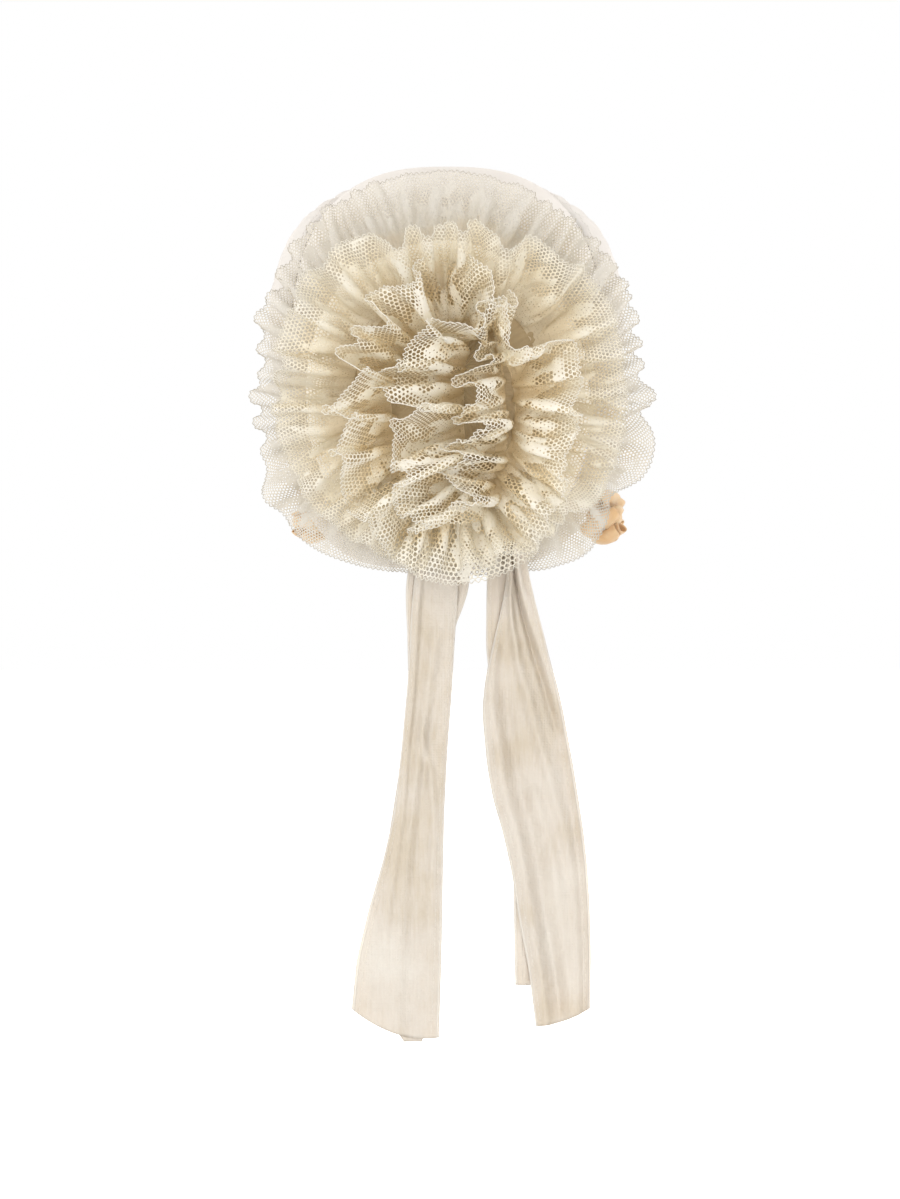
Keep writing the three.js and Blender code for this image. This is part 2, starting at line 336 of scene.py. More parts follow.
def run_group(piece, group, inputs):
    """Puts a piece through a Geometry Nodes group, with its inputs by name, and keeps the result."""
    modifier = piece.modifiers.new(group.name, "NODES")
    modifier.node_group = group
    for socket in group.interface.items_tree:
        if socket.name in inputs:
            modifier[socket.identifier] = inputs[socket.name]
    freeze(piece)


# %% [markdown]
# ## Muslin for the cap
#
# The cap under the lace is fine white cotton. Its threads are far thinner than anything the
# camera sees, so they are a bump, with a slow mottle for the soft creases of handling.


# %% Muslin
def muslin_material():
    material, tree = new_material("white_muslin")
    place = tree.on_piece()
    mottle = tree.noise(place, 30.0, detail=4.0)
    threads = tree.noise(place, 1400.0)
    colour = tree.ramp(mottle, (0.3, (0.87, 0.84, 0.81)), (0.7, (0.93, 0.91, 0.89)))
    bump = tree.bump(threads + mottle * 3.0, strength=0.35, distance=0.0004)
    thin_cloth(tree, colour, roughness=0.8, bump=bump, through=0.3, sheen=0.1)
    return material


MUSLIN_CLOTH = muslin_material()

# %% [markdown]
# ## The crown and its puffed band
#
# The crown is cut off at a tilted rim. The band is a strip of the same muslin, puffed out over
# the rim and drawn in at both edges by small gathers, which fade towards the top of the puff.

# %% The rim and the band's sections
LEAN = np.radians(45)
POLE = np.array([0, -np.sin(LEAN), np.cos(LEAN)])
FRONT = np.array([0, np.cos(LEAN), np.sin(LEAN)])
RIGHT = np.array([1.0, 0, 0])
# Each row, from the forehead round to the nape, is the rim's angle from the leaning pole in
# degrees, then the band's width and its puff in millimetres.
BAND_SECTIONS = [
    (100, 42, 5),
    (101, 54, 9),
    (109, 66, 12),
    (122, 56, 9),
    (124, 36, 5),
    (113, 20, 2.5),
    (106, 14, 1.5),
]
# Both sides of the head are the same, so the rows run back up the left side in reverse.
BAND_RING = BAND_SECTIONS + BAND_SECTIONS[-2:0:-1]
BAND_COLUMNS = 420
BAND_GAP = 0.5
BAND_WALL = 1.2
BAND_LIFT = 0.2
BAND_ROUNDNESS = 0.7
PLEATS = 64
PLEAT_HEIGHT = 0.2
PLEAT_FADE = 0.26
PLEATED_PUFF = 7
CREASE_HEIGHT = 0.04
SEAM_ROWS = (1, -2)
SEAM_PROUD = 0.12


def through_rows(rows, closed, count):
    """Catmull-Rom values through the rows of a table, at count even steps along it."""
    rows = np.array(rows, float)
    steps = len(rows) if closed else len(rows) - 1
    at = np.arange(count) * steps / (count if closed else count - 1)
    start = np.minimum(at.astype(int), steps - 1)
    t = (at - start)[:, None]
    if closed:
        a, b, c, d = (rows[(start + k) % len(rows)] for k in (-1, 0, 1, 2))
    else:
        padded = np.concatenate([2 * rows[:1] - rows[1:2], rows, 2 * rows[-1:] - rows[-2:-1]])
        a, b, c, d = (padded[start + k] for k in (0, 1, 2, 3))
    return 0.5 * (2 * b + (c - a) * t + (2 * a - 5 * b + 4 * c - d) * t**2 + (3 * b - a - 3 * c + d) * t**3)


def from_pole(away, round_):
    """Directions by their angle from the leaning pole and round it, from the forehead to the right."""
    ring = np.cos(round_)[..., None] * FRONT + np.sin(round_)[..., None] * RIGHT
    return np.cos(away)[..., None] * POLE + np.sin(away)[..., None] * ring


def band_round(columns):
    """The band's start, rim and puff round the head, the first two as angles from the pole."""
    rim, width, puff = through_rows(BAND_RING, True, columns).T
    rim = np.radians(rim)
    start = rim - width / np.linalg.norm(on_crown(from_pole(rim, around(columns))), axis=-1)
    return np.stack([start, rim, puff], -1)


def puffed(across):
    """The band's puff across its width: 0 at both edges and 1 at the top."""
    return np.sin(np.pi * across) ** BAND_ROUNDNESS


BAND_ROUND = band_round(BAND_COLUMNS)


# %% Build the crown and the band
def build_crown(columns=120, rows=44):
    rim = np.radians(through_rows(BAND_RING, True, columns)[:, 0])
    away = rim[:, None] * np.linspace(0, 1, rows + 1)
    grid = on_crown(from_pole(away, around(columns)[:, None]))
    crown = grid_object("cap_crown", grid, loop=True, pole=True)
    area = to_cloth(crown, MUSLIN_CLOTH, MUSLIN)
    put_in_part(crown, "crown")


def build_band(rows=22):
    """Builds the band and gives the lines of its two seams."""
    start, rim, puff = BAND_ROUND.T[..., None]
    round_ = around(BAND_COLUMNS)[:, None]
    across = np.linspace(0, 1, rows + 1)
    roll = puffed(across)
    pleats = np.sin(PLEATS * round_ + 2.2 * np.sin(5 * round_)) * (0.6 + 0.4 * np.sin(9 * round_ + 1))
    edge = np.exp(-across / PLEAT_FADE) + np.exp(-(1 - across) / PLEAT_FADE)
    creases = np.sin(23 * round_ + 5 * across + 2 * np.sin(4 * round_))
    relief = PLEAT_HEIGHT * pleats * edge + CREASE_HEIGHT * creases
    lift = BAND_WALL + BAND_LIFT + puff * roll + np.minimum(puff, PLEATED_PUFF) * roll**0.5 * relief
    grid = on_crown(from_pole(start + (rim - start) * across, round_), lift)
    band = grid_object("puffed_band", grid, loop=True)
    area = to_cloth(band, MUSLIN_CLOTH, BAND_WALL)
    put_in_part(band, "head_band")
    return [grid[:, row] + crown_normal(grid[:, row]) * SEAM_PROUD for row in SEAM_ROWS]


build_crown()
band_seams = build_band()

# %% [markdown]
# ## Rings of gathered lace
#
# A gathered strip is much longer than its seam. Near the seam it is drawn up tight, and
# towards the free edge it opens into flutes. The table gives each ring the place of its seam,
# clockwise from the top, and how the lace leaves the crown there. Folds of uneven size are laid
# out by formula first, and then a small cloth solver lets the strip find its real length.

# %% The ruffles' tables
# Each strip closes into a ring or is open, and has its folds, its length in millimetres, how far
# the folds topple over sideways, and the seed of their unevenness.
STRIP_COLUMNS = "closed folds length topple seed".split()
STRIPS = {
    "ruffle_1": (True, 54, 870, 0.2, 3),
    "ruffle_2": (True, 25, 920, 0.3, 7),
    "ruffle_3": (True, 16, 780, 0.35, 11),
    "ruffle_4": (False, 8, 350, 0.4, 5),
    "ruffle_5": (False, 6, 260, 0.4, 2),
}
# Each row is a place on the seam, across and up from the middle of the back, then the degrees by
# which the lace stands off the crown and curls, its width, its folds' height and its fullness.
SEAM_COLUMNS = "across up stand curl width wave full".split()
SEAMS = {
    "ruffle_1": [
        (0, 45, 2, 22, 38, 1.5, 0.78),
        (43, 26, 3, 20, 38, 1.8, 0.85),
        (68, 4, 14, 18, 37, 2.8, 1),
        (78, -20, 18, 18, 38, 2.8, 1),
        (79, -44, 34, 16, 38, 3.2, 1),
        (76, -57, 38, 14, 38, 3, 1),
        (67, -67, 44, 12, 20, 2, 0.8),
        (52, -74, 40, 10, 27, 1.9, 0.7),
        (28, -76, 34, 10, 24, 1.8, 0.7),
        (-34, -73, 28, 8, 25, 1.8, 0.7),
        (-56, -65, 38, 10, 32, 2.2, 0.8),
        (-71, -50, 34, 16, 36, 3.2, 1),
        (-77, -20, 18, 18, 36, 2.8, 1),
        (-68, 6, 14, 18, 36, 2.8, 1),
        (-45, 29, 3, 20, 38, 1.8, 0.85),
    ],
    "ruffle_2": [
        (2, 20, 48, 28, 44, 10, 1),
        (30, 10, 44, 26, 44, 9.5, 1),
        (44, -18, 38, 24, 41, 8.5, 1),
        (36, -50, 38, 24, 40, 8, 1),
        (4, -66, 40, 24, 36, 8, 1),
        (-34, -50, 36, 24, 37, 8, 1),
        (-42, -18, 38, 24, 41, 9.5, 1),
        (-28, 10, 44, 26, 45, 10.5, 1),
    ],
    "ruffle_3": [
        (4, 8, 58, 40, 40, 13, 1),
        (27, -12, 54, 58, 38, 11, 0.8),
        (27, -44, 54, 58, 38, 11, 0.8),
        (6, -62, 34, 42, 47, 11, 0.9),
        (-20, -44, 54, 34, 39, 13, 1),
        (-22, -12, 56, 34, 41, 14, 1),
    ],
    "ruffle_4": [
        (14, -64, 40, 40, 45, 10, 1),
        (8, -44, 44, 42, 49, 9.5, 1),
        (8, -14, 47, 42, 49, 10.5, 1),
        (12, 2, 66, 36, 38, 11, 1),
        (25, 3, 76, 30, 34, 9, 1),
    ],
    "ruffle_5": [
        (24, -2, 118, -44, 31, 7, 1),
        (25.5, -22, 136, -60, 38, 7.5, 1),
        (25.5, -46, 136, -60, 41, 8, 1),
        (19, -68, 130, -54, 39, 9, 1),
    ],
}
RUFFLES = {name: dict(zip(STRIP_COLUMNS, row), rows=SEAMS[name]) for name, row in STRIPS.items()}
LACE_LIFT = 1.0
LACE_STEP = 1.5
HEAD_RADIUS = 88.0
# How uneven the folds are: their sizes, heights, sway and drift, slow swells round the strip, fine
# gathers near the seam, ripples towards the edge, and creases in all directions.
FOLD_SPREAD = 0.7
FOLD_HEIGHTS = (0.45, 1.45)
FOLD_SWAY = 1.2
FOLD_DRIFT = 2.4
FOLD_SNAKE = 0.25
SWAY_SHARE = 0.4
SWAY_LIMITS = (1, 16)
SWELLS = 5
SWELL_SHARE = 0.5
GATHER_HEIGHT = 0.5
GATHER_AT = 0.14
GATHER_SPREAD = 0.012
RIPPLE_REACH = 5
RIPPLE_SHARE = 0.45
CRUMPLE_PITCH = (11, 26)
CRUMPLE_SLANT = 1.1
CRUMPLE_ACROSS = 1.6
CRUMPLE_LEAST = 0.3
CRUMPLE_SHARE = 0.07


def on_back(across, up):
    """A point on the crown by its distance across and up from the middle of the back."""
    angle = np.hypot(across, up) / HEAD_RADIUS
    round_ = np.arctan2(across, up)
    level = np.sin(angle)
    direction = np.stack([level * np.sin(round_), -np.cos(angle), level * np.cos(round_)], -1)
    return on_crown(direction, LACE_LIFT)


# %% Lay out the folds
def seam_of(ruffle, count=4000):
    """The seam's points and direction, the table along it, the columns' shares and their spacing.

    Where the lace is fuller, more of the strip is drawn up on each millimetre of the seam.
    """
    table = dict(zip(SEAM_COLUMNS, through_rows(ruffle["rows"], ruffle["closed"], count).T))
    points = on_back(table["across"], table["up"])
    ends = np.concatenate([points, points[:1]]) if ruffle["closed"] else points
    steps = np.linalg.norm(np.diff(ends, axis=0), axis=-1)
    taken = np.concatenate([[0], np.cumsum(steps * table["full"][: len(steps)])])
    columns = int(ruffle["length"] / LACE_STEP)
    share = np.arange(columns) / columns if ruffle["closed"] else np.linspace(0, 1, columns)
    at = np.interp(share * taken[-1], taken, np.arange(len(taken)))
    pick = np.minimum(at.astype(int), len(points) - 1)
    along = unit(np.roll(points, -1, 0) - np.roll(points, 1, 0))
    if not ruffle["closed"]:
        along[0], along[-1] = along[1], along[-2]
    spacing = taken[-1] / columns / table["full"][pick]
    table = {name: column[pick, None] for name, column in table.items()}
    return points[pick], along[pick], table, share, spacing


def averaged(values, closed, reach):
    """values averaged over reach neighbours on either side along the strip."""
    kernel = np.hanning(2 * reach + 1)
    padded = np.pad(values, reach, mode="wrap" if closed else "edge")
    return np.convolve(padded, kernel / kernel.sum(), "valid")


def crumple(rng, along, across, waves=7):
    """A field of soft creases in all directions, from -1 to 1, over the flat strip in millimetres."""
    total = 0
    for _ in range(waves):
        pitch = rng.uniform(*CRUMPLE_PITCH)
        slant, start = rng.uniform(-CRUMPLE_SLANT, CRUMPLE_SLANT), rng.uniform(0, TURN)
        place = np.cos(slant) * along + np.sin(slant) * across * CRUMPLE_ACROSS
        total = total + np.sin(TURN / pitch * place + start)
    return total / waves**0.5


def lay_folds(ruffle):
    """A grid of points with uneven folds, the strip's width and its spacing on the seam."""
    rng = np.random.default_rng(ruffle["seed"])
    closed, folds = ruffle["closed"], ruffle["folds"]
    foot, along, table, share, spacing = seam_of(ruffle)
    stand, curl, width, wave = (table[name] for name in ("stand", "curl", "width", "wave"))
    rows = int(round(width.max() / LACE_STEP))
    v = np.linspace(0, 1, rows + 1)
    normal = crown_normal(foot)
    away = unit(np.cross(normal, along))

    lengths = 1 + FOLD_SPREAD * rng.uniform(-1, 1, folds)
    marks = np.concatenate([[0], np.cumsum(lengths)]) / lengths.sum()
    phase = TURN * np.interp(share, marks, np.arange(folds + 1))
    fold = (phase / TURN).astype(int) % folds
    phase = phase[:, None]

    def per_fold(low, high):
        return averaged(rng.uniform(low, high, folds)[fold], closed, len(share) // folds // 2)[:, None]

    height = wave * per_fold(*FOLD_HEIGHTS)
    swell = np.sin(SWELLS * TURN * share + ruffle["seed"])[:, None]
    sway = per_fold(-FOLD_SWAY, FOLD_SWAY) + SWELL_SHARE * swell
    stand = stand + sway * np.clip(stand * SWAY_SHARE, *SWAY_LIMITS)
    drift = per_fold(-FOLD_DRIFT, FOLD_DRIFT)

    tilt = np.radians(stand + curl * (0.5 - v))
    step = width / rows
    start = np.zeros((len(share), 1))
    run = np.concatenate([start, np.cumsum(np.cos(tilt[:, 1:]) * step, 1)], 1)
    rise = np.concatenate([start, np.cumsum(np.sin(tilt[:, 1:]) * step, 1)], 1)
    grow = v**0.5
    turned = phase + drift * v**1.5
    fine = GATHER_HEIGHT * np.exp(-((v - GATHER_AT) ** 2) / GATHER_SPREAD) * np.sin(3 * phase + 1.3)
    ripples = [averaged(ripple, closed, RIPPLE_REACH) for ripple in rng.normal(size=(2, len(share)))]
    uneven = sum(ripple[:, None] * share_of for ripple, share_of in zip(ripples, (v**2, v * (1 - v) * 2)))
    over = height * grow * np.sin(turned) + fine + RIPPLE_SHARE * height * uneven
    creases = crumple(rng, share[:, None] * ruffle["length"], v * width)
    over = over + creases * (CRUMPLE_LEAST + CRUMPLE_SHARE * wave) * grow
    lean = height * grow * (FOLD_SNAKE * np.sin(2 * turned) + ruffle["topple"] * np.sin(turned))
    place = (
        foot[:, None]
        + away[:, None] * (run - np.sin(tilt) * over)[..., None]
        + normal[:, None] * (rise + np.cos(tilt) * over)[..., None]
        + along[:, None] * lean[..., None]
    )
    return place, width[:, 0], spacing


# %% [markdown]
# ## Let the lace settle
#
# The strip's threads can't stretch, so each grid edge has a rest length. The solver moves both
# ends of every edge towards it, over and over, while a weak pull towards the laid-out folds keeps
# the ring's shape. Longer links over two to six cells resist sharp bends, as starched lace
# does. Points of different folds that come too near are pushed apart, and the crown and its band
# push out what sinks into them.


# %% What the lace rests on
LACE_REST = 1.2
LACE_CLEAR = 0.8
NEAR_CAP = 1.25
REST_PUSH = 0.7


def band_lift(points):
    """How high the band's outer face is above the crown, seen in the points' directions."""
    direction = unit(points)
    away = np.arccos(np.clip(direction @ POLE, -1, 1))
    round_ = np.arctan2(direction[..., 0], direction @ FRONT) % TURN
    at = (round_ / TURN * BAND_COLUMNS).astype(int) % BAND_COLUMNS
    start, rim, puff = BAND_ROUND[at].T
    across = np.clip((away - start) / (rim - start), 0, 1)
    inside = (across > 0) & (across < 1)
    return np.where(inside, BAND_GAP + BAND_WALL + LACE_CLEAR + puff * puffed(across), 0)


def rest_on_cap(points, lift):
    """Moves points out to lift above the crown or the band, where they are lower."""
    level = crown_level(points)
    near = np.flatnonzero(level < NEAR_CAP)
    close = points[near]
    normal = crown_normal(close)
    height = (1 - 1 / level[near]) * (close * normal).sum(-1)
    lack = np.maximum(lift, band_lift(close)) - height
    low = lack > 0
    points[near[low]] += normal[low] * (lack[low] * REST_PUSH)[:, None]


# %% Keep the folds apart
# The cells make a cube with CELL_SPAN to a side, and at most CELL_CROWD points of one are looked at.
CELL_SHIFT = 500
CELL_SPAN = 1000
CELL_CROWD = 6
SAME_FOLD = 5
APART_PUSH = 0.4
HALF_SPACE = [(0, 0, 0), (0, 0, 1)]
HALF_SPACE += [(0, 1, dz) for dz in (-1, 0, 1)]
HALF_SPACE += [(1, dy, dz) for dy in (-1, 0, 1) for dz in (-1, 0, 1)]


def close_pairs(points, reach):
    """Pairs of points nearer than reach, found by sorting them into cells of that size."""
    cell = np.floor(points / reach).astype(np.int64) + CELL_SHIFT
    key = (cell[:, 0] * CELL_SPAN + cell[:, 1]) * CELL_SPAN + cell[:, 2]
    order = np.argsort(key)
    ordered = key[order]
    first, second = [], []
    for dx, dy, dz in HALF_SPACE:
        wanted = ordered + (dx * CELL_SPAN + dy) * CELL_SPAN + dz
        low = np.searchsorted(ordered, wanted, "left")
        high = np.searchsorted(ordered, wanted, "right")
        if (dx, dy, dz) == (0, 0, 0):
            low = np.arange(len(ordered)) + 1
        for k in range(CELL_CROWD):
            pick = np.flatnonzero(low + k < high)
            a, b = order[pick], order[low[pick] + k]
            near = ((points[a] - points[b]) ** 2).sum(-1) < reach**2
            first.append(a[near])
            second.append(b[near])
    return np.concatenate(first), np.concatenate(second)


def keep_apart(points, strip, column, row, columns, reach):
    """Pushes apart points of different folds or strips that are nearer than reach."""
    a, b = close_pairs(points, reach)
    along = np.abs(column[a] - column[b])
    along = np.minimum(along, columns[strip[a]] - along)
    same = (strip[a] == strip[b]) & (along < SAME_FOLD) & (np.abs(row[a] - row[b]) < SAME_FOLD)
    a, b = a[~same], b[~same]
    gap = points[a] - points[b]
    length = np.maximum(np.linalg.norm(gap, axis=-1), 1e-3)
    push = gap * (APART_PUSH * (reach - length) / length)[:, None]
    np.add.at(points, a, push)
    np.add.at(points, b, -push)


# %% The cloth solver
LINK_PULL = 0.25
APART_EVERY = 4
SEWN_ROWS = 2
LOOSE_FROM = 7
GATHERED_SHARE = 0.45


def links_of(rest_along, rest_across):
    """Links of each kind: steps along and across, rest lengths and strength."""
    slant = np.hypot(rest_along[:, :-1], rest_across)
    return [
        (1, 0, rest_along, 1.0),
        (0, 1, rest_across, 1.0),
        (1, 1, slant, 0.25),
        (1, -1, slant, 0.25),
        (3, 0, 3 * rest_along, 0.12),
        (6, 0, 6 * rest_along, 0.03),
        (0, 2, 2 * rest_across, 0.5),
        (0, 5, 5 * rest_across, 0.3),
    ]


def pull_links(place, links, closed):
    for di, dj, rest, strength in links:
        height = place.shape[1] - abs(dj)
        near = slice(0, height) if dj >= 0 else slice(-dj, None)
        far = slice(dj, None) if dj > 0 else slice(0, height)
        gap = np.roll(place, -di, 0)[:, far] - place[:, near]
        length = np.maximum(np.linalg.norm(gap, axis=-1), 1e-6)
        pull = strength * LINK_PULL * (1 - rest / length)
        if not closed and di:
            pull[len(place) - di :] = 0
        move = pull[..., None] * gap
        place[:, near] += move
        place[:, far] -= np.roll(move, di, 0)


def settle(strips, rounds=180, memory=0.006, droop=0.003, reach=1.7):
    """Lets all strips settle together. Each strip is a dict with its place, links and closed."""
    shapes = [strip["place"].shape for strip in strips]
    starts = np.concatenate([[0], np.cumsum([s[0] * s[1] for s in shapes])])
    spans = [slice(a, b) for a, b in zip(starts, starts[1:])]
    points = np.concatenate([strip["place"].reshape(-1, 3) for strip in strips])
    laid = points.copy()
    column, row = np.concatenate([np.indices(s[:2]).reshape(2, -1) for s in shapes], axis=1)
    strip_of = np.repeat(np.arange(len(strips)), np.diff(starts))
    columns = np.array([s[0] for s in shapes])
    loose = row > LOOSE_FROM
    sewn = row < SEWN_ROWS
    for step in range(rounds):
        for strip, shape, span in zip(strips, shapes, spans):
            pull_links(points[span].reshape(shape), strip["links"], strip["closed"])
        points += memory * (laid - points)
        points[:, 2] -= droop
        if step % APART_EVERY == APART_EVERY - 1:
            free = points[loose]
            keep_apart(free, strip_of[loose], column[loose], row[loose], columns, reach)
            points[loose] = free
        rest_on_cap(points, LACE_REST)
        points[sewn] = laid[sewn]
    for strip, shape, span in zip(strips, shapes, spans):
        strip["place"] = points[span].reshape(shape)


def lay_strip(name, ruffle):
    place, width, spacing = lay_folds(ruffle)
    rows = place.shape[1] - 1
    opened = np.clip(np.linspace(0, 1, rows + 1) / GATHERED_SHARE, 0, 1)
    rest_along = spacing[:, None] * (1 - opened) + LACE_STEP * opened
    links = links_of(rest_along, (width / rows)[:, None])
    return {"name": name, "place": place, "links": links, "closed": ruffle["closed"], "width": width.mean()}


strips = [lay_strip(name, ruffle) for name, ruffle in RUFFLES.items()]
settle(strips)

# %% [markdown]
# ## Rows of stitches
#
# A seam shows as a row of short threads. Geometry Nodes take the line of the seam, divide it
# evenly and lay one small stitch along it at each place.


# %% Lay stitches along a line
STITCH_PITCH = 0.0024
STITCH_LENGTH = 0.0016
THREAD_RADIUS = 0.00016
THREAD_SIDES = 6


def stitch_group():
    inputs = {"Line": "Geometry", "Material": "Material"}
    group, tree, (line, cloth) = new_group("stitches", inputs, "Stitches")
    curve = tree.add("GeometryNodeMeshToCurve", {"Mesh": line})
    curve = tree.add("GeometryNodeResampleCurve", {"Curve": curve, "Length": STITCH_PITCH}, mode="LENGTH")
    tangent = tree.add("GeometryNodeInputTangent")
    turned = tree.add("FunctionNodeAlignRotationToVector", {"Vector": tangent}, axis="Z")
    sizes = {"Vertices": THREAD_SIDES, "Side Segments": 1, "Radius": THREAD_RADIUS, "Depth": STITCH_LENGTH}
    stitch = tree.add("GeometryNodeMeshCylinder", sizes)
    places = {"Points": curve, "Instance": stitch, "Rotation": turned}
    tree.give(tree.add("GeometryNodeInstanceOnPoints", places), cloth)
    return group


STITCHES = stitch_group()


def sew(name, lines, cloth, loop=False):
    """Rows of stitches along lines of points, as one piece."""
    points, edges = [], []
    for line in lines:
        first, count = len(points), len(line)
        points += list(line)
        edges += [(first + k, first + (k + 1) % count) for k in range(count if loop else count - 1)]
    piece = new_object(name, points, [], edges)
    run_group(piece, STITCHES, {"Material": cloth})
    put_in_part(piece)
    print(name, "has", len(piece.data.polygons) // (THREAD_SIDES + 2), "stitches")


# %% [markdown]
# ## Net and clothwork
#
# The lace is a ground of six-sided meshes, with patches of close clothwork between, and a firm
# picot edge. Real holes catch the light better than a see-through texture. Geometry Nodes lay a
# flat honeycomb, cut a hole in each cell of the net, and then fold the whole honeycomb onto the
# settled sheet by its flat map.


# %% Cut the net
HEX_ROW = 0.866
EDGE_INSIDE = 0.4999
SMALL_HOLE = 0.28
CORD_STEP = 0.0006
CORD_RADIUS = 0.00026
PICOT_PITCH = 0.0027
NET_INPUTS = {"Sheet": "Geometry"}
NET_INPUTS |= dict.fromkeys(["Length", "Width", "Mesh size", "Hole size", "Openness", "Seed"], "Float")
NET_INPUTS |= {"Material": "Material"}


def net_group():
    group, tree, given = new_group("lace_net", NET_INPUTS, "Lace")
    sheet, length, width, size, hole, more, seed, cloth = given

    across_count = tree.maths("ROUND", width / (size * HEX_ROW))
    counts = {"Vertices X": tree.maths("ROUND", length / size) + 1, "Vertices Y": across_count + 1}
    grid = tree.add("GeometryNodeMeshGrid", {"Size X": length, "Size Y": width} | counts)
    at = tree.add("GeometryNodeInputPosition")
    x, y = tree.parts(at, 0), tree.parts(at, 1)
    row = tree.maths("ROUND", (y / width + 0.5) * across_count)
    odd = tree.maths("FLOORED_MODULO", row, 2.0)
    inner = tree.maths("GREATER_THAN", x, length * -EDGE_INSIDE)
    shifted = tree.maths("MINIMUM", x + odd * inner * size * 0.5, length * 0.5)
    honeycomb = tree.moved(grid, tree.vector(shifted, y, 0.0))
    honeycomb = tree.add("GeometryNodeTriangulate", {"Mesh": honeycomb}, quad_method="SHORTEST_DIAGONAL")
    honeycomb = tree.add("GeometryNodeDualMesh", {"Mesh": honeycomb, "Keep Boundaries": True})

    openness = net_patches(tree, x, y, width, seed, more)
    # open also darkens the lace's colour in patches of net, as painted shade.
    honeycomb = tree.store(honeycomb, "open", "FLOAT", "FACE", openness)
    is_open = tree.named("open", "FLOAT")
    speckle = tree.maths("GREATER_THAN", tree.noise(at, 1900.0), 0.5)
    has_hole = tree.maths("GREATER_THAN", is_open + speckle * 0.1, 0.08)
    values = {"Mesh": honeycomb, "Selection": has_hole, "Offset Scale": 0.0, "Individual": True}
    cut = tree.add("GeometryNodeExtrudeMesh", values, mode="FACES")
    lid = Wire(tree, cut.socket.node.outputs["Top"])
    values = {"Geometry": cut, "Selection": lid, "Scale": is_open * hole + SMALL_HOLE}
    holes = tree.add("GeometryNodeScaleElements", values, domain="FACE")
    holes = tree.add("GeometryNodeDeleteGeometry", {"Geometry": holes, "Selection": lid}, domain="FACE")
    holes = tree.store(holes, "flat", "FLOAT2", "CORNER", tree.vector(x, y + width * 0.5, 0.0))
    flat = tree.vector(x / length + 0.5, y / width + 0.5, 0.0)
    folded = tree.moved(holes, tree.on_sheet(sheet, flat))

    both = tree.tree.nodes.new("GeometryNodeJoinGeometry")
    for part in (picot_cord(tree, sheet, length, width), folded):
        tree.fill(both.inputs[0], part)
    lace = tree.add("GeometryNodeSetShadeSmooth", {"Geometry": Wire(tree, both.outputs[0])})
    tree.give(lace, cloth)
    return group


def picot_cord(tree, sheet, length, width):
    """A thin cord along the free edge of the sheet, which goes out and in to form picots."""
    line = tree.add("GeometryNodeCurvePrimitiveLine", {"End": (1.0, 0.0, 0.0)})
    line = tree.add("GeometryNodeResampleCurve", {"Curve": line, "Count": length / CORD_STEP})
    share = tree.add("GeometryNodeSplineParameter")
    edge = tree.on_sheet(sheet, tree.vector(share, 1.0, 0.0))
    inside = tree.on_sheet(sheet, tree.vector(share, 0.95, 0.0))
    picots = tree.waves(share * length, PICOT_PITCH) * 0.35 + 0.3
    outward = tree.add("ShaderNodeVectorMath", {0: edge, 1: inside}, operation="SUBTRACT")
    outward = tree.add("ShaderNodeVectorMath", {0: outward, "Scale": picots}, operation="SCALE")
    line = tree.moved(line, tree.add("ShaderNodeVectorMath", {0: edge, 1: outward}, operation="ADD"))
    ring = tree.add("GeometryNodeCurvePrimitiveCircle", {"Resolution": 5, "Radius": CORD_RADIUS})
    cord = tree.add("GeometryNodeCurveToMesh", {"Curve": line, "Profile Curve": ring})
    cord = tree.store(cord, "flat", "FLOAT2", "CORNER", tree.vector(share * length, width, 0.0))
    # An open of -0.4 makes the cord paler than the lace: a painted highlight on the picot edge.
    return tree.store(cord, "open", "FLOAT", "FACE", -0.4)


def net_patches(tree, x, y, width, seed, more):
    """1 in the middle of a patch of net, 0 in the clothwork between patches."""
    up = y / width + 0.5
    flowers = tree.noise(tree.vector(x, y * 0.7, seed), 95.0, detail=1.0)
    bars = tree.maths("SINE", x * (TURN / 0.017) + flowers * 9.0) * 0.07
    rough = tree.noise(tree.vector(x, y, seed + 3.0), 420.0) * 0.1
    towards_edge = (up - 0.6) * 0.42
    edges = tree.maths("ABSOLUTE", up - 0.6) - 0.36
    border = tree.maths("MAXIMUM", edges, 0.0) * 12.0
    openness = (flowers + bars + rough + towards_edge + more - 0.485) * 12.0 - border
    return tree.maths("MULTIPLY", openness, 1.0, clamp=True)


# %% [markdown]
# ## Cotton lace
#
# Old cotton lace is a pale cream. Its colour carries painted light: painted shade makes it darker
# near each ring's seam, under other lace and in the patches of net, a painted highlight makes the
# picot edge paler, and each ring has its own creams for how much light reaches it. Light goes
# through it and picks up more of the warm tone, so the depths of the folds glow brown and orange.
# The clothwork shows its threads as a fine grain.

# %% Lace cotton
# glow is the colour of the light that comes through, and through is the share of it.
CREAM_COLUMNS = "deep middle pale glow through".split()
# The creams are one cotton painted for how light falls on each ring: the outer one darker, as it is lit
# most, the inner ones with deeper, warmer painted shade.
CREAMS = [
    ((0.64, 0.58, 0.48), (0.655, 0.625, 0.56), (0.705, 0.688, 0.65), (0.88, 0.81, 0.67, 1), 0.24),
    ((0.69, 0.60, 0.44), (0.79, 0.74, 0.61), (0.82, 0.80, 0.725), (0.90, 0.78, 0.56, 1), 0.18),
    ((0.70, 0.57, 0.36), (0.89, 0.85, 0.725), (0.88, 0.865, 0.80), (0.92, 0.78, 0.52, 1), 0.17),
]
CREAM_OF = {"ruffle_1": 0, "ruffle_2": 1, "ruffle_3": 2, "ruffle_4": 2, "ruffle_5": 2}
LACE_ROUGHNESS = 0.85


